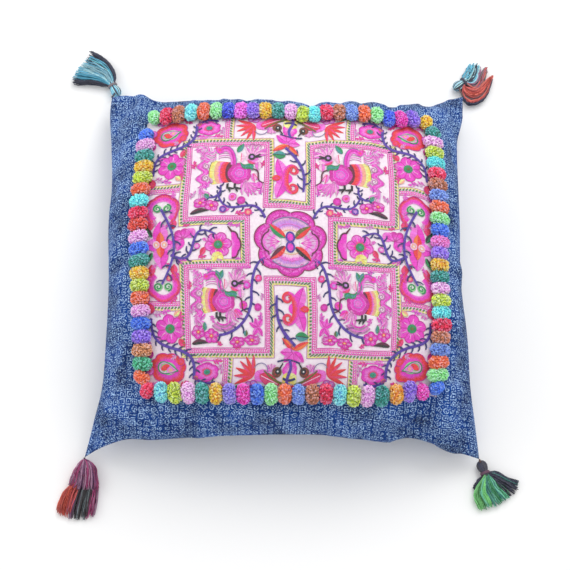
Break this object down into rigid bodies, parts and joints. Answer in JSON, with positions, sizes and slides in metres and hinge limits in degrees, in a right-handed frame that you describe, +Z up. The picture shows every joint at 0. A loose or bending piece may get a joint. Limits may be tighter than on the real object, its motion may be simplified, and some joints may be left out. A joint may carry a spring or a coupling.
{
  "type": "cushion",
  "caption": "Square scatter cushion lying on its back, with a batik-print cover, an embroidered panel edged in yarn pompoms, and a tassel at each corner.",
  "frame": {"origin": "middle of the flat patch that the cushion rests on, on the table's surface", "axes": "+Z up out of the embroidered face, +Y towards the edge far from the viewer, +X to the viewer's right"},
  "size_m": [0.5264, 0.5835, 0.1361],
  "materials": {
    "batik_cotton": "matte printed cotton",
    "embroidered_cotton": "satin-stitch embroidery on white cotton",
    "pompom_yarn": "fuzzy wool yarn",
    "tassel_yarn_far_left": "cotton yarn",
    "tassel_yarn_far_right": "cotton yarn",
    "tassel_yarn_near_left": "cotton yarn",
    "tassel_yarn_near_right": "cotton yarn",
    "wrap_thread": "wound thread",
    "stem_yarn": "twisted yarn"
  },
  "bodies": {
    "root": {"cushion_body": "batik_cotton", "embroidered_panel": "embroidered_cotton", "pompom_trim_far": "pompom_yarn", "pompom_trim_right": "pompom_yarn", "pompom_trim_near": "pompom_yarn", "pompom_trim_left": "pompom_yarn", "tassel_far_left": "tassel_yarn_far_left", "tassel_wrap_far_left": "wrap_thread", "tassel_stem_far_left": "stem_yarn", "tassel_far_right": "tassel_yarn_far_right", "tassel_wrap_far_right": "wrap_thread", "tassel_stem_far_right": "stem_yarn", "tassel_near_left": "tassel_yarn_near_left", "tassel_wrap_near_left": "wrap_thread", "tassel_stem_near_left": "stem_yarn", "tassel_near_right": "tassel_yarn_near_right", "tassel_wrap_near_right": "wrap_thread", "tassel_stem_near_right": "stem_yarn"}
  },
  "joints": []
}
